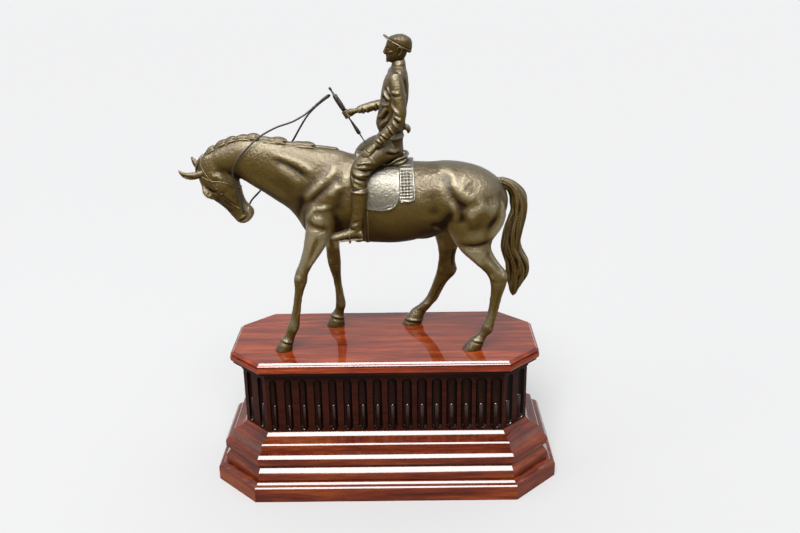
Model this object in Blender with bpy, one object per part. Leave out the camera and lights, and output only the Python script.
"""Statue of a walking horse with its jockey, cast in bronze, on a stepped and fluted wooden plinth.

Metres, +Z up. The origin is on the underside of the plinth, below its middle. The horse walks
towards -X, and its near side, where the jockey's hand lies on the thigh, looks towards -Y.
"""
import math

import bmesh
import bpy
import numpy as np
from mathutils import Matrix, Vector
from mathutils.bvhtree import BVHTree

for old in list(bpy.data.objects):
    bpy.data.objects.remove(old, do_unlink=True)

# Plinth: an eight-sided stack. Each layer is set in from the foot slab by its own amount.
BASE_WIDTH = 0.600            # foot slab, left to right
BASE_DEPTH = 0.290            # foot slab, front to back
BASE_CORNER = 0.075           # leg of the slab's cut-off corners
SLAB_HEIGHT = 0.032
LOWER_MOULDING_HEIGHT = 0.026
LOWER_MOULDING_SET_IN = 0.014
MIDDLE_MOULDING_HEIGHT = 0.025
MIDDLE_MOULDING_SET_IN = 0.015
BEAD_HEIGHT = 0.023           # the small steps that carry the frieze
FRIEZE_HEIGHT = 0.101
FRIEZE_SET_IN = 0.053
HOLLOW_HEIGHT = 0.018         # hollow moulding under the top board
TOP_BOARD_HEIGHT = 0.018
TOP_BOARD_SET_IN = 0.034
EDGE_ROUND = 0.004            # how far the boards' edges are rounded
GAP = 0.0003                  # between glued layers, and under the hooves

# Flutes: round-ended channels, their lower half filled by a round reed.
FLUTES_LONG = 16              # on each long face
FLUTES_SHORT = 4              # on each end face
FLUTES_CORNER = 2             # on each corner face
FLUTE_WIDTH = 0.0145
FLUTE_DEPTH = 0.0055
FLUTE_MARGIN = 0.010          # plain wood above and below a flute
REED_WIDTH = 0.0085
REED_SHARE = 0.5              # of the flute's height that the reed fills

# Bronze: the horse's height at the withers sets every length of horse and jockey.
WITHERS_HEIGHT = 0.338
VOXEL = 0.0021                # grid on which the limbs and the body flow into one skin
SKIN_TRIANGLES = 5800         # of the finished bronze skin
FIST = (-16.6, 9.0, 115.4)    # middle of the fist that holds the whip, in UNITs

# Reins and whip: thin metal worked apart from the casting and soldered to it.
REIN_WIDTH = 0.0040
REIN_THICKNESS = 0.0020
WHIP_RADIUS = 0.0017          # of the shaft; the grip is twice as thick
WHIP_LENGTH = 0.112
WHIP_TRIANGLES = 220
WHIP_LEAN = 31.5              # degrees from upright, towards the horse's head

UNIT = WITHERS_HEIGHT / 100   # one hundredth of the horse's height


def principled(name, colour, metallic, roughness):
    material = bpy.data.materials.new(name)
    material.use_nodes = True
    shader = material.node_tree.nodes["Principled BSDF"]
    shader.inputs["Base Color"].default_value = (*colour, 1)
    shader.inputs["Metallic"].default_value = metallic
    shader.inputs["Roughness"].default_value = roughness
    return material


def finish(name, bm, material):
    """Make one closed object from bm, its faces pointing out."""
    bmesh.ops.recalc_face_normals(bm, faces=bm.faces)
    mesh = bpy.data.meshes.new(name)
    bm.to_mesh(mesh)
    bm.free()
    mesh.materials.append(material)
    piece = bpy.data.objects.new(name, mesh)
    bpy.context.scene.collection.objects.link(piece)
    return piece


# The plinth, layer by layer from the floor up

def octagon(set_in, z):
    """Corners of the plinth's outline, set_in from the foot slab's edge, counter-clockwise."""
    half_width = BASE_WIDTH / 2 - set_in
    half_depth = BASE_DEPTH / 2 - set_in
    leg = BASE_CORNER - set_in * (2 - math.sqrt(2))
    return [Vector((x, y, z)) for x, y in (
        (half_width, leg - half_depth), (half_width, half_depth - leg),
        (half_width - leg, half_depth), (leg - half_width, half_depth),
        (-half_width, half_depth - leg), (-half_width, leg - half_depth),
        (leg - half_width, -half_depth), (half_width - leg, -half_depth))]


def layer(name, profile, material):
    """One layer of the plinth. The profile runs upwards as (set-in, height) pairs."""
    bm = bmesh.new()
    ring = bmesh.ops.create_circle(bm, cap_ends=True, segments=8)["verts"]
    for vert, corner in zip(ring, octagon(*profile[0])):
        vert.co = corner
    for step in profile[1:]:
        edges = [edge for edge in bm.edges if edge.verts[0] in ring and edge.verts[1] in ring]
        made = bmesh.ops.extrude_edge_only(bm, edges=edges)["geom"]
        lower = {vert: edge.other_vert(vert) for vert in made if isinstance(vert, bmesh.types.BMVert)
                 for edge in vert.link_edges if edge.other_vert(vert) in ring}
        ring_up = [next(up for up, low in lower.items() if low is vert) for vert in ring]
        for vert, corner in zip(ring_up, octagon(*step)):
            vert.co = corner
        ring = ring_up
    bmesh.ops.contextual_create(bm, geom=ring)
    return finish(name, bm, material)


def quarter(set_in, z, width, height, hollow=False, steps=3):
    """Profile points from (set_in, z) along a quarter round that ends width further in and height up."""
    points = []
    for i in range(1, steps + 1):
        angle = i / steps * math.pi / 2
        if hollow:
            points.append((set_in + width * math.sin(angle), z + height * (1 - math.cos(angle))))
        else:
            points.append((set_in + width * (1 - math.cos(angle)), z + height * math.sin(angle)))
    return points


wood = principled("mahogany", (0.24, 0.045, 0.015), 0.0, 0.25)
dark_wood = principled("dark mahogany", (0.10, 0.025, 0.012), 0.0, 0.3)

z = 0.0
layer("plinth_foot_slab", [(0, z), (0, z + SLAB_HEIGHT - EDGE_ROUND)]
      + quarter(0, z + SLAB_HEIGHT - EDGE_ROUND, EDGE_ROUND, EDGE_ROUND), wood)

z += SLAB_HEIGHT + GAP
s = LOWER_MOULDING_SET_IN
shoulder = LOWER_MOULDING_HEIGHT - 2 * EDGE_ROUND
layer("plinth_lower_moulding", [(s + EDGE_ROUND, z), (s, z + EDGE_ROUND), (s, z + shoulder)]
      + quarter(s, z + shoulder, 2 * EDGE_ROUND, 2 * EDGE_ROUND), wood)

z += LOWER_MOULDING_HEIGHT + GAP
s = MIDDLE_MOULDING_SET_IN
shoulder = MIDDLE_MOULDING_HEIGHT - 2 * EDGE_ROUND
layer("plinth_middle_moulding", [(s + EDGE_ROUND, z), (s, z + EDGE_ROUND), (s, z + shoulder)]
      + quarter(s, z + shoulder, 2 * EDGE_ROUND, 2 * EDGE_ROUND, hollow=True), wood)

z += MIDDLE_MOULDING_HEIGHT + GAP
s = MIDDLE_MOULDING_SET_IN + 3 * EDGE_ROUND
step = (FRIEZE_SET_IN - s) / 2
rise = BEAD_HEIGHT / 2
layer("plinth_bead_moulding", [(s, z), (s, z + rise / 2)] + quarter(s, z + rise / 2, step, rise / 2)
      + [(s + step, z + rise)] + quarter(s + step, z + rise, step * 0.8, rise)
      , wood)

z += BEAD_HEIGHT + GAP
frieze_foot = z


def flute_cutters():
    """Yield (turn, place) for every flute: its local Y points into the wood, its local Z up."""
    corners = octagon(FRIEZE_SET_IN, 0)
    # faces run from corner i to corner i + 1; counts in the same order, starting at the +X end
    counts = [FLUTES_SHORT, FLUTES_CORNER, FLUTES_LONG, FLUTES_CORNER] * 2
    for i, count in enumerate(counts):
        start, end = corners[i], corners[(i + 1) % 8]
        along = (end - start).normalized()
        inward = Vector((-along.y, along.x, 0))
        for k in range(count):
            place = start.lerp(end, (k + 0.5) / count)
            yield Matrix((along.to_4d(), inward.to_4d(), (0, 0, 1, 0), (0, 0, 0, 1))).transposed(), place


def half_round(bm, width, depth, low, high, sides, turn, taper=0.0):
    """Add a bar along Z with an elliptic section, placed by turn. Its ends narrow over taper."""
    levels = [(low, 1.0), (high, 1.0)]
    if taper:
        levels = [(low, 0.5), (low + taper, 1.0), (high - taper, 1.0), (high, 0.5)]
    ring = bmesh.ops.create_circle(bm, cap_ends=True, radius=1, segments=sides)["verts"]
    flat = [vert.co.copy() for vert in ring]
    rings = [ring]
    for _ in levels[1:]:
        edges = {edge for vert in rings[-1] for edge in vert.link_edges
                 if edge.other_vert(vert) in rings[-1]}
        made = bmesh.ops.extrude_edge_only(bm, edges=list(edges))["geom"]
        fresh = {vert for vert in made if isinstance(vert, bmesh.types.BMVert)}
        rings.append([next(edge.other_vert(vert) for edge in vert.link_edges
                           if edge.other_vert(vert) in fresh) for vert in rings[-1]])
    bmesh.ops.contextual_create(bm, geom=rings[-1])
    for ring, (height, share) in zip(rings, levels):
        for vert, co in zip(ring, flat):
            vert.co = turn @ Vector((co.x * width / 2 * share, co.y * depth * share, height))


bm = bmesh.new()
for turn, place in flute_cutters():
    half_round(bm, FLUTE_WIDTH, FLUTE_DEPTH, frieze_foot + FLUTE_MARGIN,
               frieze_foot + FRIEZE_HEIGHT - FLUTE_MARGIN, 6, Matrix.Translation(place) @ turn,
               taper=FLUTE_WIDTH / 3)
flutes = finish("flute cutter", bm, dark_wood)
flutes.hide_render = True
flutes.display_type = "WIRE"

bm = bmesh.new()
reed_top = frieze_foot + FLUTE_MARGIN + REED_SHARE * (FRIEZE_HEIGHT - 2 * FLUTE_MARGIN)
for turn, place in flute_cutters():
    inside = place + turn.col[1].to_3d() * FLUTE_DEPTH
    half_round(bm, REED_WIDTH, FLUTE_DEPTH, frieze_foot + FLUTE_MARGIN / 2, reed_top, 6,
               Matrix.Translation(inside) @ turn)
reeds = finish("reed filler", bm, dark_wood)
reeds.hide_render = True
reeds.display_type = "WIRE"

frieze = layer("plinth_fluted_frieze",
               [(FRIEZE_SET_IN, z), (FRIEZE_SET_IN, z + FRIEZE_HEIGHT)], dark_wood)
for cutter, operation in ((flutes, "DIFFERENCE"), (reeds, "UNION")):
    boolean = frieze.modifiers.new(cutter.name, "BOOLEAN")
    boolean.object = cutter
    boolean.operation = operation
    boolean.solver = "EXACT"

z += FRIEZE_HEIGHT + GAP
s = FRIEZE_SET_IN - EDGE_ROUND / 2
reach = s - TOP_BOARD_SET_IN - EDGE_ROUND
strip = HOLLOW_HEIGHT / 4
cove = [(s - reach * (1 - math.cos(a)), z + strip + (HOLLOW_HEIGHT - 2 * strip) * math.sin(a))
        for a in (math.pi / 2 * i / 4 for i in range(1, 5))]
layer("plinth_hollow_moulding", [(s, z), (s, z + strip)] + cove
      + [(s - reach, z + HOLLOW_HEIGHT)], wood)

z += HOLLOW_HEIGHT + GAP
s = TOP_BOARD_SET_IN
bead = TOP_BOARD_HEIGHT / 2
layer("plinth_top_board", [(s + EDGE_ROUND / 2, z), (s, z + EDGE_ROUND / 2), (s, z + bead),
                           (s + EDGE_ROUND / 3, z + bead + EDGE_ROUND / 4)]
      + quarter(s + EDGE_ROUND / 3, z + bead + EDGE_ROUND / 4, EDGE_ROUND,
                TOP_BOARD_HEIGHT - bead - EDGE_ROUND / 4), wood)
SOLE = z + TOP_BOARD_HEIGHT + GAP


# The bronze group
# Lengths below are hundredths of the horse's height, measured from the top board at the middle.

def spline(rows, per_span):
    """Rows of a smooth curve through the given rows (Catmull-Rom), per_span steps between two."""
    rows = np.array(rows, float)
    padded = np.vstack([2 * rows[0] - rows[1], rows, 2 * rows[-1] - rows[-2]])
    smooth = []
    for a, b, c, d in zip(padded, padded[1:], padded[2:], padded[3:]):
        for t in np.arange(per_span) / per_span:
            smooth.append(0.5 * (2 * b + (c - a) * t + (2 * a - 5 * b + 4 * c - d) * t * t
                                 + (3 * b - a - 3 * c + d) * t ** 3))
    smooth.append(rows[-1])
    return smooth


def skin_rings(bm, frames, sides):
    """Loft one closed tube: each frame maps the unit circle to one ring."""
    ring = bmesh.ops.create_circle(bm, cap_ends=True, radius=1, segments=sides)["verts"]
    bmesh.ops.transform(bm, matrix=frames[0], verts=ring)
    edges = list({edge for vert in ring for edge in vert.link_edges})
    for before, after in zip(frames, frames[1:]):
        made = bmesh.ops.extrude_edge_only(bm, edges=edges)["geom"]
        ring = [item for item in made if isinstance(item, bmesh.types.BMVert)]
        edges = [edge for edge in made if isinstance(edge, bmesh.types.BMEdge)
                 and edge.verts[0] in ring and edge.verts[1] in ring]
        bmesh.ops.transform(bm, matrix=after @ before.inverted(), verts=ring)
    bmesh.ops.contextual_create(bm, geom=edges)


def body(bm, stations, sides=28, per_span=3):
    """Loft from side-view outlines: a station is one outline point (x, z), the one across from it
    (x, z), the half width and the y of its middle."""
    frames = []
    for x1, z1, x2, z2, half_width, y in spline(stations, per_span):
        main = Vector(((x1 - x2) / 2, 0, (z1 - z2) / 2))
        side = Vector((0, max(half_width, 0.2), 0))
        out = main.cross(side).normalized()
        middle = Vector(((x1 + x2) / 2, y, (z1 + z2) / 2))
        frame = Matrix((side.to_4d(), main.to_4d(), out.to_4d(), middle.to_4d())).transposed()
        frame[3] = (0, 0, 0, 1)
        frames.append(frame)
    skin_rings(bm, frames, sides)


def limb(bm, stations, sides=20, per_span=3, flat=1.0, face=(0, 1, 0)):
    """Loft along a line in space: a station is (x, y, z, radius). The section is flat times as
    thick along the face direction as it is across."""
    rows = spline(stations, per_span)
    frames = []
    for i, row in enumerate(rows):
        along = Vector(rows[min(i + 1, len(rows) - 1)][:3] - rows[max(i - 1, 0)][:3]).normalized()
        across = along.cross(Vector(face)).normalized()
        thick = across.cross(along)
        radius = max(row[3], 0.0005)
        frame = Matrix(((across * radius).to_4d(), (thick * radius * flat).to_4d(),
                        along.to_4d(), Vector(row[:3]).to_4d())).transposed()
        frame[3] = (0, 0, 0, 1)
        frames.append(frame)
    skin_rings(bm, frames, sides)


def mirrored(stations, y_column):
    """The same stations on the horse's other side."""
    return [tuple(-v if i == y_column else v for i, v in enumerate(row)) for row in stations]


bm = bmesh.new()

# trunk, from the breast to the buttocks: back line, belly line, half width
TRUNK = [
    (-41.2, 74.0, -41.0, 64.0, 5.0, 0), (-39.0, 82.0, -39.0, 59.5, 9.0, 0),
    (-35.0, 90.0, -35.5, 56.5, 11.6, 0), (-29.0, 96.0, -30.0, 54.6, 13.0, 0),
    (-21.0, 98.0, -22.0, 53.6, 13.8, 0), (-12.0, 97.2, -12.0, 53.0, 14.8, 0),
    (-3.0, 95.0, -3.0, 52.5, 15.8, 0), (6.0, 93.6, 6.0, 52.3, 16.4, 0),
    (15.0, 93.4, 15.0, 53.4, 16.5, 0), (24.0, 93.0, 24.0, 56.0, 16.2, 0),
    (32.0, 93.4, 32.0, 58.6, 16.0, 0), (40.0, 92.6, 39.0, 60.0, 16.2, 0),
    (47.0, 90.8, 46.0, 60.5, 15.4, 0), (53.0, 88.0, 52.0, 61.0, 13.4, 0),
    (58.0, 84.0, 57.0, 62.0, 10.4, 0), (61.4, 79.0, 60.4, 65.0, 7.4, 0),
    (62.6, 74.5, 62.0, 69.0, 3.4, 0)]
body(bm, TRUNK, sides=40)

# neck with the mane's mass: crest line, throat line, half width
NECK = [
    (-14.0, 97.5, -34.0, 57.0, 11.0, 0), (-20.0, 99.6, -39.5, 60.5, 10.8, 0),
    (-28.0, 100.9, -42.6, 65.5, 9.8, 0), (-37.0, 102.0, -46.6, 70.4, 8.4, 0),
    (-46.0, 103.4, -52.6, 74.6, 7.3, 0), (-55.0, 105.2, -58.6, 78.8, 6.5, 0),
    (-63.0, 106.2, -63.6, 82.0, 6.0, 0), (-70.5, 105.6, -67.4, 84.8, 5.7, 0),
    (-77.5, 103.2, -70.2, 86.6, 5.4, 0), (-83.5, 100.2, -72.6, 88.0, 5.0, 0),
    (-87.6, 96.2, -76.0, 89.0, 4.2, 0)]
body(bm, NECK, sides=32)

# horse's head: forehead and nose line, poll and jaw line, half width
body(bm, [
    (-87.6, 98.0, -78.5, 100.0, 3.4, 0), (-89.6, 94.6, -74.6, 94.6, 4.7, 0),
    (-90.9, 89.4, -71.2, 88.4, 5.7, 0), (-90.4, 84.4, -69.5, 83.0, 6.1, 0),
    (-88.2, 80.0, -68.8, 79.0, 5.7, 0), (-84.6, 76.2, -68.0, 76.2, 4.8, 0),
    (-80.6, 73.0, -67.0, 74.0, 4.0, 0), (-77.4, 69.8, -65.2, 72.2, 3.5, 0),
    (-75.3, 67.0, -63.7, 70.4, 3.5, 0), (-73.7, 64.8, -63.7, 67.8, 3.6, 0),
    (-71.8, 63.3, -65.3, 65.2, 3.1, 0), (-70.0, 62.9, -67.2, 63.6, 1.6, 0)], sides=28)
for side in (-1, 1):
    # brow ridge over each eye
    limb(bm, [(-88.6, 3.4 * side, 84.6, 0.8), (-88.0, 5.2 * side, 82.6, 1.6),
              (-86.2, 5.6 * side, 80.0, 1.5), (-83.0, 4.6 * side, 78.2, 0.7)])
limb(bm, [(-87.0, -3.0, 89.6, 1.8), (-89.8, -3.8, 88.8, 1.8), (-92.8, -4.4, 88.5, 1.9),
          (-95.8, -4.6, 88.9, 1.5), (-98.0, -4.5, 90.2, 0.95), (-99.3, -4.4, 91.6, 0.5)], flat=0.75)
limb(bm, [(-87.0, 3.0, 91.6, 1.8), (-89.6, 3.7, 91.6, 1.8), (-91.5, 4.3, 92.5, 1.8),
          (-92.8, 4.7, 94.0, 1.2), (-93.9, 5.0, 96.0, 0.5)], flat=0.75)

# legs: front edge, rear edge, half width, y of the leg. Soles run a little low and are cut flat.
body(bm, [
    (-36.5, 76.0, -19.0, 72.0, 4.6, -9.2), (-37.2, 69.0, -21.5, 64.0, 5.0, -10.2),
    (-37.6, 62.5, -25.0, 58.2, 4.9, -11.2), (-38.6, 56.2, -28.4, 53.0, 4.4, -12.2),
    (-39.9, 50.2, -32.0, 48.0, 3.6, -13.0), (-41.8, 45.0, -35.2, 43.5, 3.0, -13.6),
    (-43.5, 41.0, -37.0, 40.0, 3.2, -14.2), (-44.3, 37.3, -37.4, 36.7, 3.3, -14.5),
    (-44.0, 33.7, -38.8, 33.1, 2.6, -14.8), (-44.8, 28.0, -40.3, 28.0, 2.0, -15.0),
    (-45.9, 21.8, -41.3, 21.0, 1.9, -15.1), (-47.4, 16.8, -42.2, 16.0, 2.2, -15.2),
    (-48.7, 13.0, -42.4, 12.6, 2.9, -15.3), (-49.5, 10.0, -43.8, 9.6, 2.6, -15.4),
    (-50.4, 8.0, -45.0, 7.0, 2.4, -15.4), (-52.1, 6.4, -45.9, 4.6, 3.0, -15.4),
    (-54.3, 2.9, -46.4, 2.2, 3.7, -15.4), (-55.9, -0.6, -46.9, -0.6, 4.1, -15.4),
    (-56.3, -1.8, -47.0, -1.8, 4.2, -15.4)], sides=20)
body(bm, [
    (-36.5, 76.0, -19.0, 72.0, 4.6, 9.2), (-35.5, 68.0, -20.5, 64.0, 5.0, 10.2),
    (-34.2, 61.0, -21.0, 58.0, 4.8, 11.2), (-32.6, 55.0, -22.0, 53.0, 4.3, 12.2),
    (-31.2, 49.0, -22.8, 47.6, 3.6, 13.0), (-30.2, 44.0, -22.9, 43.0, 3.0, 13.6),
    (-30.1, 39.5, -22.7, 39.5, 3.2, 14.2), (-29.7, 35.9, -22.6, 36.0, 3.3, 14.5),
    (-28.7, 31.5, -22.8, 31.5, 2.6, 14.8), (-27.6, 27.5, -22.8, 27.5, 2.0, 15.0),
    (-26.8, 22.0, -22.3, 21.8, 1.9, 15.1), (-26.4, 17.0, -21.5, 16.4, 2.2, 15.2),
    (-26.5, 13.0, -20.9, 12.5, 2.9, 15.3), (-26.8, 10.0, -21.4, 9.6, 2.6, 15.4),
    (-27.8, 8.3, -22.2, 7.6, 2.4, 15.4), (-29.2, 6.2, -22.1, 4.6, 3.0, 15.4),
    (-30.6, 3.0, -22.0, 2.2, 3.7, 15.4), (-32.0, -0.6, -22.0, -0.6, 4.1, 15.4),
    (-32.4, -1.8, -22.0, -1.8, 4.2, 15.4)], sides=20)
body(bm, [
    (26.0, 84.0, 56.0, 83.0, 5.4, -8.6), (26.0, 76.0, 60.2, 74.0, 6.2, -9.4),
    (28.5, 68.0, 60.6, 66.0, 6.2, -10.2), (32.0, 61.6, 57.6, 60.2, 5.6, -11.2),
    (35.0, 56.0, 54.3, 56.0, 4.7, -12.0), (38.5, 51.0, 54.0, 51.5, 3.9, -12.8),
    (43.0, 46.8, 56.0, 47.5, 3.3, -13.6), (47.5, 43.0, 58.8, 43.6, 2.9, -14.3),
    (50.7, 40.0, 61.3, 40.6, 2.7, -14.9), (52.6, 36.8, 61.9, 37.0, 2.9, -15.3),
    (53.3, 33.0, 60.8, 32.6, 2.8, -15.7), (53.1, 28.5, 59.2, 27.8, 2.2, -16.0),
    (52.3, 21.6, 57.6, 20.6, 2.0, -16.2), (51.2, 17.0, 56.3, 16.2, 2.3, -16.4),
    (49.4, 13.2, 55.4, 12.0, 2.9, -16.5), (48.4, 10.0, 54.6, 9.0, 2.7, -16.6),
    (46.6, 7.8, 52.2, 6.9, 2.4, -16.6), (44.0, 5.9, 50.8, 4.6, 3.1, -16.6),
    (41.3, 2.9, 50.3, 2.2, 3.7, -16.6), (38.8, -0.6, 49.0, -0.6, 4.1, -16.6),
    (38.0, -1.8, 48.8, -1.8, 4.2, -16.6)], sides=20)
body(bm, [
    (25.0, 84.0, 56.0, 83.0, 5.4, 8.6), (22.5, 75.0, 57.5, 71.0, 6.2, 9.4),
    (22.5, 66.5, 54.0, 61.5, 6.0, 10.2), (24.3, 58.5, 47.5, 54.5, 5.3, 11.2),
    (26.2, 51.5, 42.0, 49.0, 4.5, 12.0), (27.8, 46.0, 38.8, 44.5, 3.8, 12.8),
    (28.5, 41.0, 37.6, 40.0, 3.2, 13.6), (28.5, 37.5, 37.5, 36.0, 2.9, 14.3),
    (28.0, 34.0, 38.6, 31.6, 2.8, 14.9), (27.4, 30.0, 37.4, 28.3, 2.8, 15.4),
    (25.9, 25.2, 33.6, 24.0, 2.3, 15.8), (24.3, 20.5, 30.6, 18.6, 2.0, 16.1),
    (21.8, 15.0, 28.2, 13.6, 2.2, 16.3), (19.2, 11.8, 26.0, 11.3, 2.8, 16.4),
    (17.0, 9.9, 23.9, 8.4, 2.7, 16.6), (14.9, 8.7, 22.6, 7.0, 2.4, 16.6),
    (12.9, 6.4, 21.0, 4.8, 3.1, 16.6), (10.6, 3.2, 20.4, 2.2, 3.7, 16.6),
    (8.4, -0.6, 19.6, -0.6, 4.1, 16.6), (7.8, -1.8, 19.4, -1.8, 4.2, 16.6)], sides=20)

# sheath fold under the flank, and the tail: inner edge, outer edge
limb(bm, [(16.0, 0, 56.0, 2.6), (22.0, 0, 56.6, 3.2), (27.0, 0, 58.2, 3.0), (32.0, 0, 60.5, 2.6)])
body(bm, [
    (55.0, 82.0, 56.0, 86.4, 2.0, 0), (60.0, 79.5, 62.6, 84.6, 2.6, 0),
    (62.0, 76.5, 67.2, 81.6, 3.2, 0), (62.6, 73.0, 70.1, 77.6, 3.8, 0),
    (62.9, 69.6, 71.0, 73.0, 4.2, 0), (62.6, 66.0, 71.0, 68.0, 4.4, 0),
    (61.6, 62.0, 70.4, 62.0, 4.5, 0), (60.4, 56.4, 69.8, 55.4, 4.5, 0),
    (60.1, 50.3, 69.6, 50.0, 4.4, 0), (61.0, 45.8, 70.3, 46.0, 4.2, 0),
    (62.4, 41.5, 72.2, 42.0, 4.0, 0), (62.6, 36.8, 73.5, 37.5, 3.8, 0),
    (63.2, 31.8, 72.2, 32.0, 3.4, 0), (63.6, 28.0, 70.5, 28.5, 2.8, 0),
    (64.8, 24.5, 69.2, 25.0, 1.9, 0), (66.0, 22.2, 68.6, 23.0, 1.2, 0)], sides=20)

# saddle cloth and number cloth: a band of the trunk's own shape, a little larger, cut off below
for x_from, x_to, spare, low in ((-9.0, 9.0, 0.9, 73.6), (8.0, 16.4, 1.5, 77.6)):
    band = bmesh.new()
    rows = [row for row in spline(TRUNK, 8) if x_from <= (row[0] + row[2]) / 2 <= x_to]
    body(band, [(x1, z1 + spare, x2, z2 - spare, hw + spare, y) for x1, z1, x2, z2, hw, y in rows],
         sides=48, per_span=1)
    below = bmesh.ops.bisect_plane(band, geom=band.verts[:] + band.edges[:] + band.faces[:],
                                   plane_co=(0, 0, low), plane_no=(0, 0, -1), clear_outer=True)
    bmesh.ops.contextual_create(band, geom=[e for e in below["geom_cut"]
                                            if isinstance(e, bmesh.types.BMEdge)])
    mesh = bpy.data.meshes.new("band")
    band.to_mesh(mesh)
    band.free()
    bm.from_mesh(mesh)
    bpy.data.meshes.remove(mesh)
# saddle seat with its raised cantle
body(bm, [
    (-12.0, 100.0, -12.0, 93.0, 3.5, 0), (-7.0, 99.4, -7.0, 92.0, 5.6, 0),
    (0.0, 98.4, 0.0, 91.0, 7.4, 0), (6.0, 98.2, 6.0, 91.0, 8.6, 0),
    (11.0, 98.8, 10.6, 91.5, 8.8, 0), (13.6, 99.2, 12.6, 95.0, 6.6, 0)])

# jockey's trunk: front, back, half width
body(bm, [
    (-4.5, 97.0, 11.0, 95.5, 8.6, 0), (-4.0, 100.0, 11.2, 99.0, 9.0, 0),
    (-2.4, 104.0, 10.9, 103.6, 8.6, 0), (-1.3, 108.6, 11.6, 108.8, 7.9, 0),
    (-2.0, 113.2, 12.2, 113.6, 8.3, 0), (-0.9, 117.8, 12.6, 118.2, 8.7, 0),
    (0.2, 122.8, 13.6, 123.2, 9.2, 0), (0.9, 128.0, 14.0, 128.6, 9.5, 0),
    (2.2, 133.0, 13.8, 134.0, 9.2, 0), (4.2, 136.8, 13.2, 137.8, 7.2, 0),
    (5.8, 139.6, 12.6, 140.4, 3.9, 0), (6.2, 142.0, 12.4, 142.8, 3.3, 0)])
# head with its cap, face and back of the head; then the cap's peak
body(bm, [
    (6.4, 140.6, 11.4, 141.6, 2.8, 0), (4.2, 142.2, 12.2, 143.0, 3.4, 0),
    (3.4, 144.4, 13.2, 145.0, 4.2, 0), (3.2, 147.0, 14.3, 147.2, 4.7, 0),
    (3.8, 149.6, 15.2, 149.6, 4.9, 0), (4.8, 152.0, 14.8, 152.0, 4.6, 0),
    (6.9, 153.8, 13.2, 153.6, 3.4, 0), (9.0, 154.5, 11.5, 154.4, 1.4, 0)])
body(bm, [
    (8.6, 153.0, 7.4, 150.2, 4.2, 0), (6.4, 153.8, 5.6, 151.6, 4.3, 0),
    (4.4, 154.4, 3.9, 153.2, 3.7, 0), (2.8, 154.9, 2.5, 154.1, 2.2, 0)], sides=20)
# near arm, with the hand on the thigh; far arm, with the fist round the whip
limb(bm, [
    (6.8, -7.6, 135.4, 3.2), (7.6, -10.2, 134.4, 3.4), (8.6, -12.0, 130.0, 3.4),
    (9.5, -13.3, 124.0, 3.2), (9.6, -14.2, 118.8, 3.1), (6.9, -14.4, 114.0, 2.9),
    (2.4, -14.2, 109.2, 2.7), (-0.8, -14.1, 105.9, 2.2), (-2.4, -14.0, 104.2, 1.5)])
limb(bm, [
    (-1.4, -14.0, 105.2, 1.5), (-3.6, -13.9, 103.2, 1.9), (-6.2, -13.6, 101.2, 2.0),
    (-8.4, -13.4, 99.4, 1.6), (-9.6, -13.4, 98.2, 0.9)], flat=1.1)
limb(bm, [
    (6.8, 7.6, 135.4, 3.2), (7.6, 10.2, 134.4, 3.4), (8.8, 12.2, 130.0, 3.4),
    (9.4, 12.9, 124.8, 3.2), (7.8, 12.9, 121.0, 3.0), (3.0, 11.6, 119.9, 2.8),
    (-3.0, 10.3, 119.0, 2.5), (-8.5, 9.3, 117.8, 2.2), (-11.8, 8.9, 117.0, 1.5)])
limb(bm, [
    (-10.8, 9.0, 117.2, 1.4), (-13.2, 8.9, 116.6, 1.7), (-15.4, 8.9, 115.8, 2.2),
    (-17.4, 8.9, 115.0, 2.0), (-18.6, 8.9, 114.6, 1.1)], flat=1.15)
# legs: thigh, knee, boot; and the shoes from heel to toe
LEG = [
    (4.0, -5.5, 101.0, 5.8), (-0.8, -9.2, 99.6, 5.6), (-5.2, -12.6, 97.2, 5.2),
    (-8.9, -15.2, 94.0, 4.8), (-10.2, -16.9, 89.5, 4.3), (-10.1, -17.6, 84.5, 4.0),
    (-10.4, -17.9, 79.0, 3.9), (-11.0, -18.0, 73.0, 3.4), (-11.9, -18.1, 67.8, 2.9),
    (-12.4, -18.2, 64.4, 2.8), (-12.4, -18.2, 62.0, 2.4)]
SHOE = [
    (-8.8, 63.6, -8.8, 60.4, 1.6, -18.2), (-9.4, 65.0, -9.2, 60.0, 2.5, -18.2),
    (-12.4, 66.0, -12.0, 59.6, 2.8, -18.2), (-15.8, 65.0, -15.4, 59.4, 2.9, -18.2),
    (-19.2, 63.3, -19.0, 59.2, 2.6, -18.2), (-22.2, 61.9, -22.0, 59.4, 2.0, -18.2),
    (-24.0, 61.0, -23.8, 60.2, 1.0, -18.2)]
limb(bm, LEG, face=(1, 0, 0))
limb(bm, mirrored(LEG, 1), face=(1, 0, 0))
body(bm, SHOE, sides=16)
body(bm, mirrored(SHOE, 5), sides=16)
bmesh.ops.recalc_face_normals(bm, faces=bm.faces)
bmesh.ops.transform(bm, matrix=Matrix.Translation((0, 0, SOLE)) @ Matrix.Scale(UNIT, 4),
                    verts=bm.verts)

steel = principled("dark metal", (0.09, 0.085, 0.075), 1.0, 0.4)
bronze = principled("patinated bronze", (0.20, 0.145, 0.055), 1.0, 0.35)
casting = finish("bronze_horse_and_jockey", bm, bronze)


def evaluated(piece):
    """A mesh of the piece as its modifiers leave it."""
    graph = bpy.context.evaluated_depsgraph_get()
    return bpy.data.meshes.new_from_object(piece.evaluated_get(graph))


def apply_modifier(piece, kind, **settings):
    modifier = piece.modifiers.new(kind.title(), kind)
    for key, value in settings.items():
        setattr(modifier, key, value)
    mesh = evaluated(piece)
    piece.modifiers.clear()
    old = piece.data
    piece.data = mesh
    bpy.data.meshes.remove(old)


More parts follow.
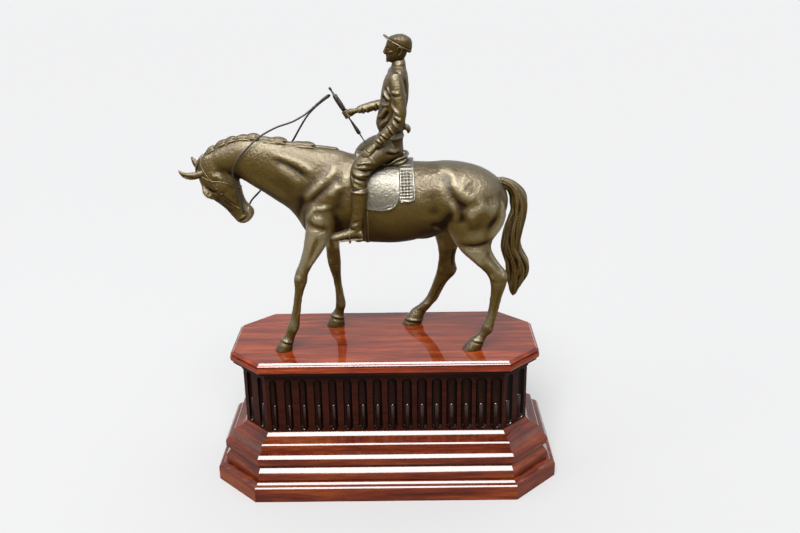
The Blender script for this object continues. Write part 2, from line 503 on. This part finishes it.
def relief(piece, strokes):
    """Raise or sink the skin along lines. A stroke is (points, radius, height), in hundredths of
    the horse's height."""
    mesh = piece.data
    count = len(mesh.vertices)
    co = np.empty(count * 3)
    mesh.vertices.foreach_get("co", co)
    co = co.reshape(-1, 3)
    normal = np.empty(count * 3)
    mesh.vertex_normals.foreach_get("vector", normal)
    normal = normal.reshape(-1, 3)
    local = (co - (0, 0, SOLE)) / UNIT
    push = np.zeros(count)
    for points, radius, height in strokes:
        line = np.array(spline(points, 4))
        nearest = np.full(count, np.inf)
        for a, b in zip(line, line[1:]):
            ab = b - a
            t = np.clip((local - a) @ ab / (ab @ ab), 0, 1)
            nearest = np.minimum(nearest, np.linalg.norm(local - a - t[:, None] * ab, axis=1))
        push += height * np.exp(-(nearest / radius) ** 2)
    co += normal * (push * UNIT)[:, None]
    mesh.vertices.foreach_set("co", co.ravel())
    mesh.update()


def smooth(piece, times):
    bm = bmesh.new()
    bm.from_mesh(piece.data)
    for _ in range(times):
        bmesh.ops.smooth_vert(bm, verts=bm.verts, factor=0.5,
                              use_axis_x=True, use_axis_y=True, use_axis_z=True)
    bm.to_mesh(piece.data)
    bm.free()


def place(x, y, z):
    return Vector((x * UNIT, y * UNIT, SOLE + z * UNIT))


def whip_parts(spare):
    """Lofts of the whip in metres, each spare larger all round: shaft, grip and keeper."""
    fist = place(*FIST)
    lean = math.radians(WHIP_LEAN)
    up = Vector((-math.sin(lean), 0, math.cos(lean)))
    def row(share, radius):
        return (*(fist + up * WHIP_LENGTH * share), radius * WHIP_RADIUS + spare)
    return [dict(stations=[row(0.46, 0.8), row(0.4, 1.0), row(0, 1.0), row(-0.3, 1.0),
                           row(-0.54, 0.7)], sides=8, per_span=1),
            dict(stations=[row(0.34, 0.9), row(0.30, 1.9), row(0.20, 2.1), row(0.10, 1.9),
                           row(0.07, 1.2)], sides=8, per_span=1),
            dict(stations=[row(-0.10, 0.8), row(-0.20, 1.6), row(-0.33, 2.3), row(-0.35, 1.6)],
                 sides=8, per_span=1, flat=0.45)]


# muscles, bones and hollows, the same on both sides where the legs stand alike
muscles = []
for s in (-1, 1):
    muscles += [
        # shoulder blade, its rear hollow, the point of the shoulder, the muscle over the elbow
        ([(-22, 11.5 * s, 92), (-30, 12.5 * s, 80), (-37, 11.5 * s, 70)], 3.2, 1.1),
        ([(-15, 14 * s, 88), (-20, 14.5 * s, 74), (-22, 14 * s, 62)], 2.4, -1.0),
        ([(-38, 10 * s, 69), (-36, 11 * s, 66)], 3.6, 1.0),
        ([(-24, 13.5 * s, 76), (-26, 14.5 * s, 68), (-24, 14 * s, 61)], 3.4, 1.2),
        # groove between neck and shoulder, and along the neck's underside
        ([(-28, 9 * s, 95), (-38, 10 * s, 82), (-42, 8.5 * s, 72)], 2.4, -0.9),
        ([(-70, 5 * s, 88), (-58, 6.6 * s, 83), (-47, 8 * s, 75)], 1.6, -0.7),
        # flank hollow, hip bone, stifle, the groove down the buttock
        ([(24, 15.5 * s, 84), (26, 16 * s, 74), (25, 15.5 * s, 66)], 3.4, -1.2),
        ([(30, 14 * s, 88), (33, 14 * s, 86)], 2.6, 0.9),
        ([(31, 15 * s, 66), (33, 14.5 * s, 63)], 3.4, 0.9),
        ([(50, 13 * s, 84), (53, 13.5 * s, 74), (52, 13.5 * s, 62)], 2.0, -0.8),
        # rib barrel in front of the flank, belly tuck
        ([(4, 16 * s, 78), (14, 16.5 * s, 76)], 6.0, 0.5)]
# tufts of the mane along the crest, long grooves between the locks of the tail
tufts = [([(x1, 1.6, z1), (x1 + 2.0, -2.4, z1 - 1.2), (x1 + 3.2, -3.6, z1 - 3.4)], 1.1, 0.7)
         for x1, z1, _, _, _, _ in spline(NECK, 2)[2:-2]]
locks = []
for s in (-1, 1):
    locks += [
        ([(65.8, 4.2 * s, 78), (66.8, 4.6 * s, 68), (65.2, 4.6 * s, 57), (65.4, 4.4 * s, 47),
          (68.4, 3.8 * s, 38), (67.2, 3.0 * s, 28)], 1.1, -1.0),
        ([(69.4, 3.0 * s, 72), (68.4, 3.2 * s, 58), (67.8, 3.2 * s, 48), (71.2, 2.6 * s, 38),
          (69.8, 2.2 * s, 30)], 0.9, -0.7)]


def hoop(x, y, z, radius_x, radius_y):
    """Points once round a sleeve, a waist or a boot."""
    return [(x + radius_x * math.cos(a), y + radius_y * math.sin(a), z)
            for a in (math.tau * i / 12 for i in range(13))]


# drapery: drawn-in waist, folds of the blouse and its sleeves, boot tops, folds at knee and ankle
folds = [
    (hoop(4.8, 0, 106.4, 6.6, 8.2), 1.3, -0.8),
    ([(0.0, -5.0, 127), (4.0, -8.6, 122), (4.4, -8.6, 116)], 1.3, -0.7),
    ([(-1.5, -4.0, 119), (3.0, -8.0, 114), (7.0, -8.0, 112)], 1.2, -0.6),
    ([(0.0, 5.0, 127), (4.0, 8.6, 122), (4.4, 8.6, 116)], 1.3, -0.7),
    ([(13.8, -4.0, 128), (13.2, -5.0, 118), (11.6, -4.0, 110)], 1.3, -0.6),
    ([(13.8, 3.0, 130), (13.4, 1.0, 119), (11.8, 2.0, 110)], 1.3, -0.6),
    ([(3.2, -16.6, 113.4), (5.6, -16.6, 110.6), (6.8, -13.2, 109.4)], 1.0, -0.6)]
for s in (-1, 1):
    folds += [
        ([(5.6, 12.5 * s, 131.4), (8.4, 15.2 * s, 129.6), (11.8, 13.0 * s, 128)], 1.0, -0.6),
        ([(6.4, 14.6 * s, 124.6), (9.2, 16.4 * s, 122.6), (12.4, 14.0 * s, 121.6)], 1.0, -0.6),
        (hoop(-10.1, 17.6 * s, 84.2, 4.2, 4.2), 0.8, 0.7),
        (hoop(-10.2, 17.2 * s, 87.4, 4.3, 4.3), 1.0, -0.5),
        (hoop(-11.9, 18.1 * s, 68.0, 3.0, 3.0), 0.8, -0.4)]
apply_modifier(casting, "REMESH", mode="VOXEL", voxel_size=VOXEL)
smooth(casting, 4)
relief(casting, muscles + tufts + locks + folds)
smooth(casting, 1)
apply_modifier(casting, "DECIMATE", decimate_type="COLLAPSE",
               ratio=SKIN_TRIANGLES / (2 * len(casting.data.polygons)))

hole = bmesh.new()
for part in whip_parts(GAP)[:1]:
    limb(hole, **part)
hole = finish("fist hole", hole, steel)
apply_modifier(casting, "BOOLEAN", object=hole, operation="DIFFERENCE", solver="EXACT")
bpy.data.objects.remove(hole)

bm = bmesh.new()
bm.from_mesh(casting.data)
bmesh.ops.triangulate(bm, faces=bm.faces)
bmesh.ops.dissolve_degenerate(bm, dist=UNIT / 40, edges=bm.edges)
cut = bmesh.ops.bisect_plane(bm, geom=bm.verts[:] + bm.edges[:] + bm.faces[:],
                             plane_co=(0, 0, SOLE), plane_no=(0, 0, -1), clear_outer=True)
bmesh.ops.holes_fill(bm, edges=[e for e in bm.edges if e.is_boundary], sides=0)
bmesh.ops.triangulate(bm, faces=bm.faces)
bm.to_mesh(casting.data)
bm.free()
casting.data.materials.clear()
casting.data.materials.append(bronze)


# Reins and whip

surface = bmesh.new()
surface.from_mesh(casting.data)
tree = BVHTree.FromBMesh(surface)
surface.free()


def off_skin(point, clearance):
    """Move a point along the skin's normal until it clears the casting."""
    near, normal, _, _ = tree.find_nearest(point)
    if (point - near).dot(normal) < clearance:
        return near + normal * clearance
    return point


def strip(name, points, width, thickness, material):
    """A bent bar with a flat section that keeps clear of the casting."""
    bm = bmesh.new()
    rows = [Vector(row) for row in spline(points, 2)]
    clearance = GAP + 0.6 * width
    rows = [off_skin(place(*row), clearance) for row in rows]
    frames = []
    for i, point in enumerate(rows):
        along = (rows[min(i + 1, len(rows) - 1)] - rows[max(i - 1, 0)]).normalized()
        across = along.cross(Vector((0, 1, 0))).normalized()
        thick = across.cross(along)
        frame = Matrix(((across * width / 2).to_4d(), (thick * thickness / 2).to_4d(),
                        along.to_4d(), point.to_4d())).transposed()
        frame[3] = (0, 0, 0, 1)
        frames.append(frame)
    skin_rings(bm, frames, 4)
    return finish(name, bm, material)


strip("reins", [
    (-68.5, -4.6, 69.5), (-69.0, -6.0, 76.0), (-71.0, -6.6, 84.0), (-71.8, -7.0, 91.0),
    (-69.0, -7.2, 97.0), (-64.0, -6.4, 102.5), (-58.0, -4.4, 107.5), (-50.0, -3.0, 111.6),
    (-42.0, -1.0, 114.0), (-35.5, 1.5, 117.4), (-30.0, 3.6, 121.8), (-25.6, 5.6, 125.0),
    (-24.6, 6.9, 124.6), (-29.5, 6.4, 121.2), (-35.0, 5.6, 116.2), (-39.5, 5.4, 109.6),
    (-43.5, 6.6, 103.0), (-50.0, 8.2, 94.0), (-56.0, 8.0, 84.0), (-61.0, 6.6, 78.0),
    (-65.5, 5.6, 73.5), (-67.5, 4.8, 70.0)], REIN_WIDTH, REIN_THICKNESS, steel)

# the whip: a straight shaft through the fist, a thick grip above it, a flat keeper below it
bm = bmesh.new()
for part in whip_parts(0):
    limb(bm, **part)
whip = finish("whip", bm, steel)
apply_modifier(whip, "REMESH", mode="VOXEL", voxel_size=WHIP_RADIUS / 3)
apply_modifier(whip, "DECIMATE", decimate_type="COLLAPSE",
               ratio=WHIP_TRIANGLES / (2 * len(whip.data.polygons)))
whip.data.materials.append(steel)
